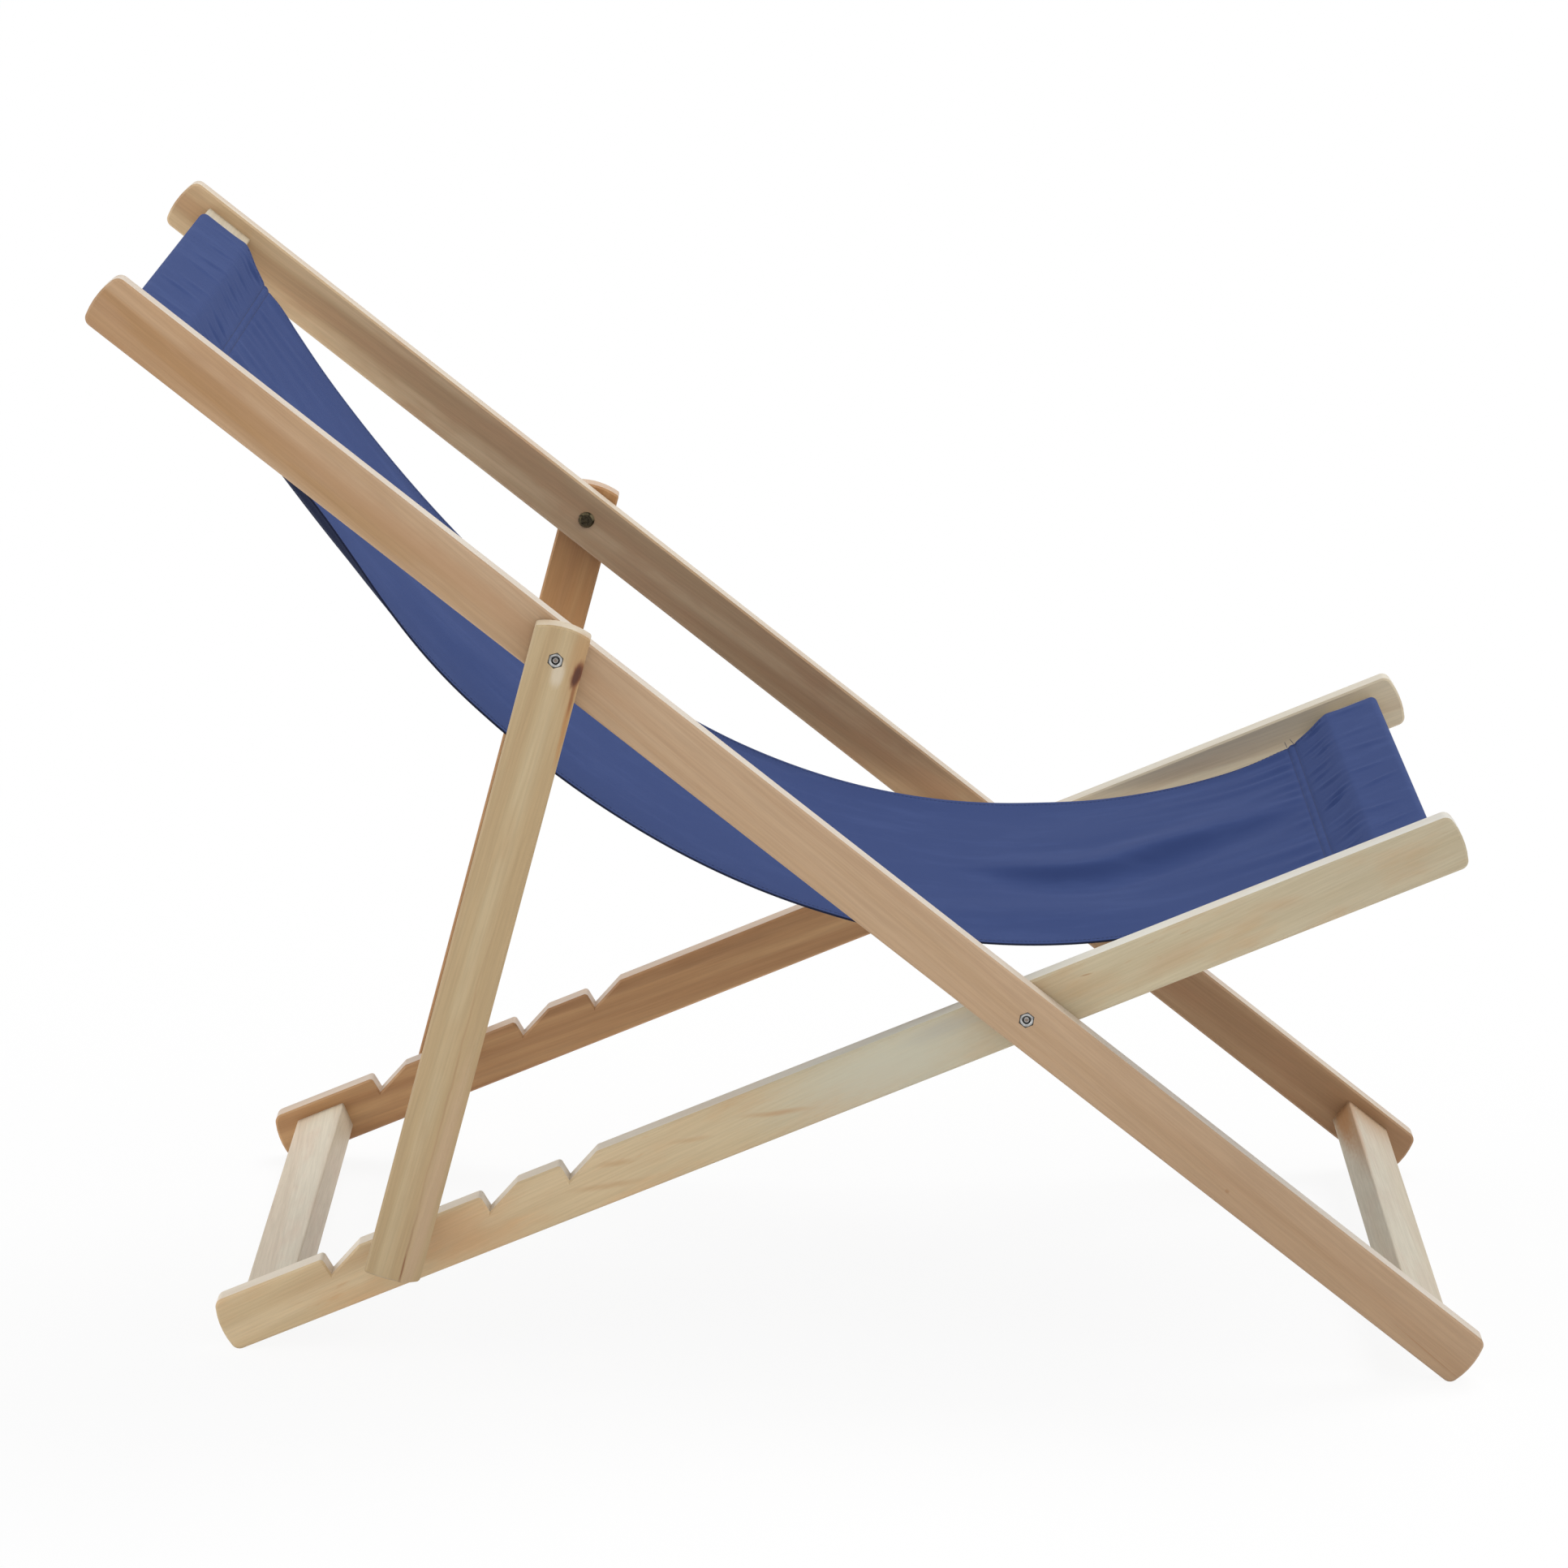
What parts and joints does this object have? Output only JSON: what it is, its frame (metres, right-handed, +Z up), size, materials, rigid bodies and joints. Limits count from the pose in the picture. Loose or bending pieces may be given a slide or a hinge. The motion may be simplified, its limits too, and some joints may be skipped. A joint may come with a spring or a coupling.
{
  "type": "deck chair",
  "caption": "Folding wooden deck chair: crossed plank frames on a pivot, a notched prop that sets the recline, and a cloth sling hung between the top bar and the front bar.",
  "frame": {"origin": "on the floor, below the middle of the chair's bounding box", "axes": "+X to the front of the chair, +Y to the sitter's left, +Z up"},
  "size_m": [1.047, 0.6166, 0.8182],
  "materials": {
    "pine": "bare sanded pine, satin, with fine grain",
    "canvas": "matt navy blue cotton canvas",
    "zinc_steel": "zinc-plated steel"
  },
  "bodies": {
    "seat_frame": {"seat_rail_left": "pine", "seat_rail_right": "pine", "seat_front_bar": "pine", "seat_rear_bar": "pine", "sling": "canvas"},
    "back_frame": {"back_rail_left": "pine", "back_rail_right": "pine", "back_top_bar": "pine", "back_foot_bar": "pine", "pivot_bolt_left": "zinc_steel", "pivot_bolt_right": "zinc_steel", "pivot_nut_left": "zinc_steel", "pivot_nut_right": "zinc_steel", "pivot_washer_left": "zinc_steel", "pivot_washer_right": "zinc_steel"},
    "prop_frame": {"prop_leg_left": "pine", "prop_leg_right": "pine", "prop_bar": "pine", "prop_bolt_left": "zinc_steel", "prop_bolt_right": "zinc_steel", "prop_nut_left": "zinc_steel", "prop_nut_right": "zinc_steel", "prop_washer_left": "zinc_steel", "prop_washer_right": "zinc_steel"}
  },
  "joints": [
    {"name": "back_fold", "type": "hinge", "parent": "seat_frame", "child": "back_frame", "pos_m": [0.17274, 0, 0.27613], "axis": [0, 1, 0], "range_deg": [0, 113.5], "deforming": ["sling"]},
    {"name": "prop_swing", "type": "hinge", "parent": "back_frame", "child": "prop_frame", "pos_m": [-0.17908, 0, 0.54697], "axis": [0, 1, 0], "range_deg": [-61.82, 0]}
  ],
  "couplings": [
    {"joint": "prop_swing", "follows": "back_fold", "ratio": -0.5446}
  ]
}
